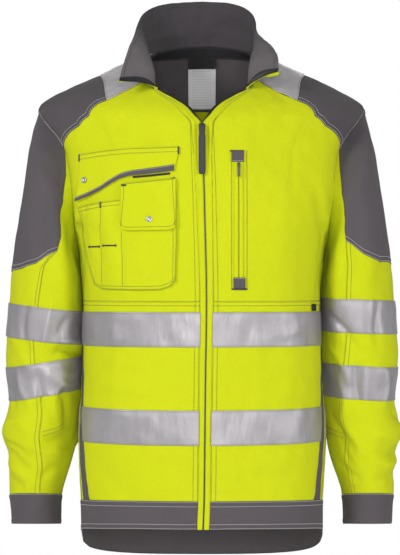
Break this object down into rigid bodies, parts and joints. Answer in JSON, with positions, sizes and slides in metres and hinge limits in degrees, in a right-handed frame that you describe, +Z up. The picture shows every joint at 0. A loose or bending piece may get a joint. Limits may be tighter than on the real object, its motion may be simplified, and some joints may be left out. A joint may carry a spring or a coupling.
{
  "type": "high-visibility work jacket",
  "caption": "Long-sleeved hi-vis work jacket with turned-out collar, front zip, reflective tapes and chest pockets, filled out as worn and hollow.",
  "frame": {"origin": "middle of the neck, at the height where the shoulder seams meet the collar", "axes": "+Z up, -Y is the front with the zip, +X is the wearer's left"},
  "size_m": [0.606, 0.2864, 0.8719],
  "materials": {
    "lime_cloth": "fluorescent lime woven work cloth",
    "grey_cloth": "dark grey woven work cloth",
    "reflective_tape": "silver grey reflective tape, slightly crinkled",
    "black_webbing": "black zip tape and webbing",
    "white_label": "white satin label with thin grey rules",
    "dark_metal": "black coated metal",
    "steel": "brushed steel snap"
  },
  "bodies": {
    "jacket": {"back": "lime_cloth", "back_yoke": "grey_cloth", "body_tape_lower_L": "reflective_tape", "body_tape_lower_R": "reflective_tape", "body_tape_lower_back": "reflective_tape", "body_tape_upper_L": "reflective_tape", "body_tape_upper_R": "reflective_tape", "body_tape_upper_back": "reflective_tape", "care_label": "white_label", "chest_flap": "lime_cloth", "chest_flap_trim": "grey_cloth", "chest_pocket": "lime_cloth", "collar_binding_L": "lime_cloth", "collar_binding_R": "lime_cloth", "collar_inner": "grey_cloth", "collar_outer": "grey_cloth", "collar_zip_L": "black_webbing", "collar_zip_R": "black_webbing", "cuff_L": "grey_cloth", "cuff_R": "grey_cloth", "front_lower_L": "lime_cloth", "front_lower_R": "lime_cloth", "front_upper_L": "lime_cloth", "front_upper_R": "lime_cloth", "front_welt_L": "lime_cloth", "front_welt_R": "lime_cloth", "hem_back": "grey_cloth", "hem_front_L": "grey_cloth", "hem_front_R": "grey_cloth", "neck_label": "black_webbing", "neck_tape": "black_webbing", "phone_flap": "lime_cloth", "pocket_slider": "dark_metal", "pocket_tab_lower": "grey_cloth", "pocket_tab_upper": "grey_cloth", "pocket_zip": "black_webbing", "shoulder_strip_L": "reflective_tape", "shoulder_strip_R": "reflective_tape", "shoulder_yoke_L": "grey_cloth", "shoulder_yoke_R": "grey_cloth", "side_insert_L": "grey_cloth", "side_insert_R": "grey_cloth", "side_tab": "black_webbing", "sleeve_cap_L": "grey_cloth", "sleeve_cap_R": "grey_cloth", "sleeve_inner_L": "lime_cloth", "sleeve_inner_R": "lime_cloth", "sleeve_outer_L": "lime_cloth", "sleeve_outer_R": "lime_cloth", "sleeve_tape_lower_L": "reflective_tape", "sleeve_tape_lower_R": "reflective_tape", "sleeve_tape_upper_L": "reflective_tape", "sleeve_tape_upper_R": "reflective_tape", "snap_flap": "steel", "snap_phone": "steel", "zip_slider": "dark_metal", "zip_tape_L": "black_webbing", "zip_tape_R": "black_webbing"},
    "zip_pull": {"zip_pull": "dark_metal"},
    "pocket_pull": {"pocket_pull": "dark_metal"}
  },
  "joints": [
    {"name": "zip_pull_hinge", "type": "hinge", "parent": "jacket", "child": "zip_pull", "pos_m": [0, -0.14293, -0.1235], "axis": [-1, 0, 0], "range_deg": [0, 150]},
    {"name": "pocket_pull_hinge", "type": "hinge", "parent": "jacket", "child": "pocket_pull", "pos_m": [0.053, -0.14213, -0.1775], "axis": [-1, 0, 0], "range_deg": [0, 150]}
  ]
}
